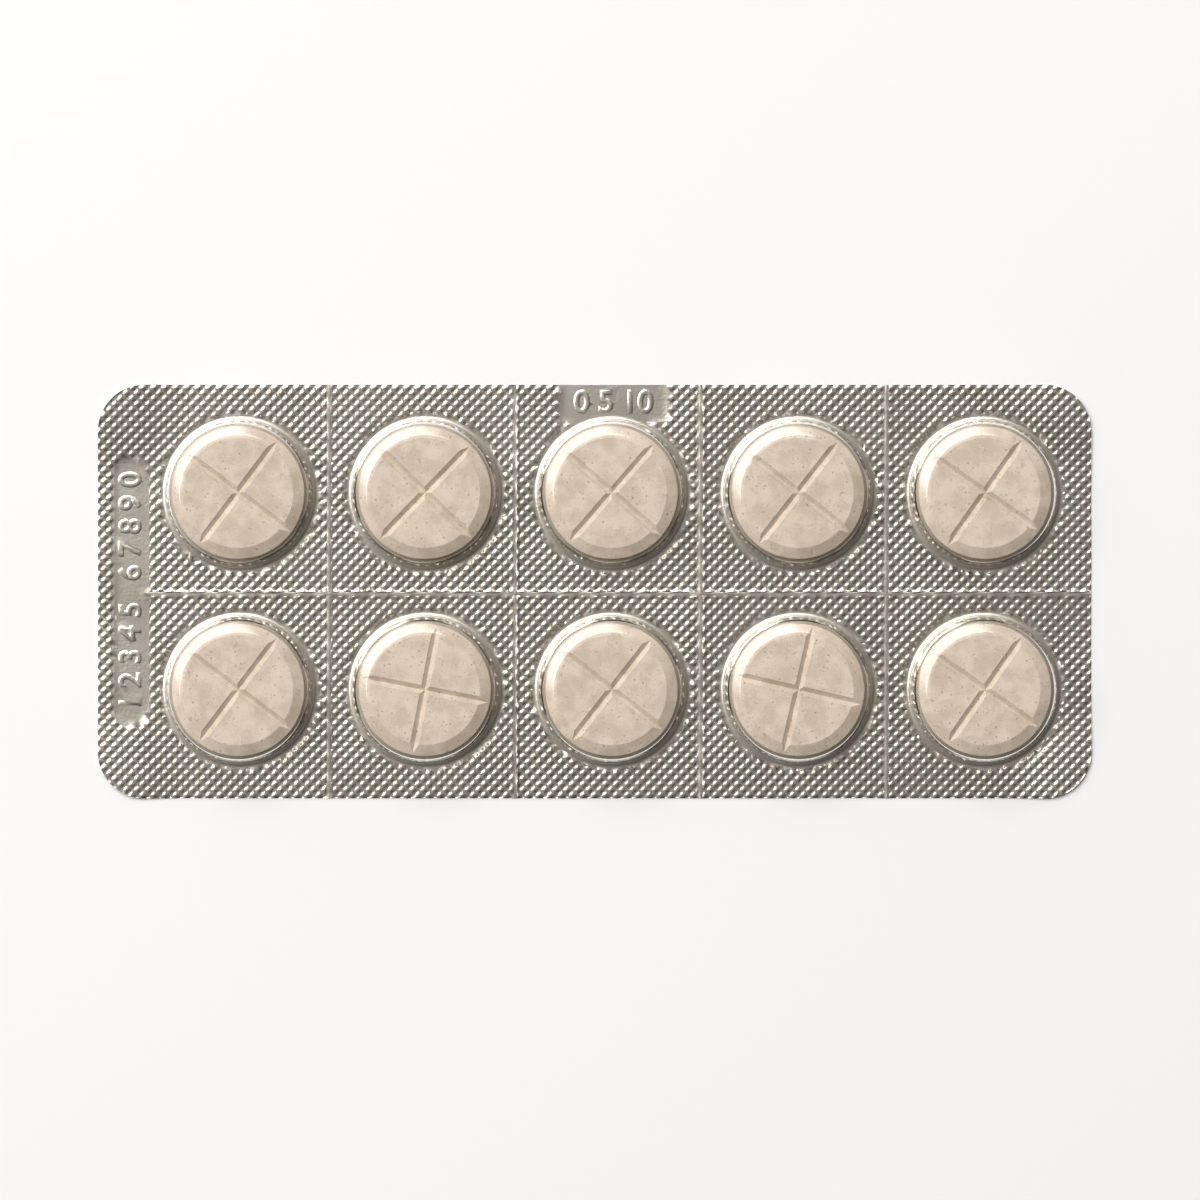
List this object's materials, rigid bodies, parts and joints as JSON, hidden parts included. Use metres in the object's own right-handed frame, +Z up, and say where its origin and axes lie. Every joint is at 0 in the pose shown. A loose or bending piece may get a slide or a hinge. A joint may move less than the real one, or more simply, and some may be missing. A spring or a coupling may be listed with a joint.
{
  "type": "pill blister pack",
  "caption": "Flat rectangular blister pack with rows of round clear pockets, each holding one cross-scored tablet, sealed below with foil.",
  "frame": {"origin": "middle of the pack's outline, on the underside of the foil", "axes": "+Z up through the crowns of the pockets, +X along the pack from the code strip's end, +Y across it"},
  "size_m": [0.096, 0.04, 0.0046],
  "materials": {
    "clear_web": "clear glossy thermoformed film, knurled where it is sealed",
    "foil": "bright rolled foil with the seal's knurl",
    "tablet": "pressed powder, matt, warm off-white with fine speckles"
  },
  "bodies": {
    "root": {"blister_web": "clear_web", "lidding_foil": "foil", "tablet_01": "tablet", "tablet_02": "tablet", "tablet_03": "tablet", "tablet_04": "tablet", "tablet_05": "tablet", "tablet_06": "tablet", "tablet_07": "tablet", "tablet_08": "tablet", "tablet_09": "tablet", "tablet_10": "tablet"}
  },
  "joints": []
}
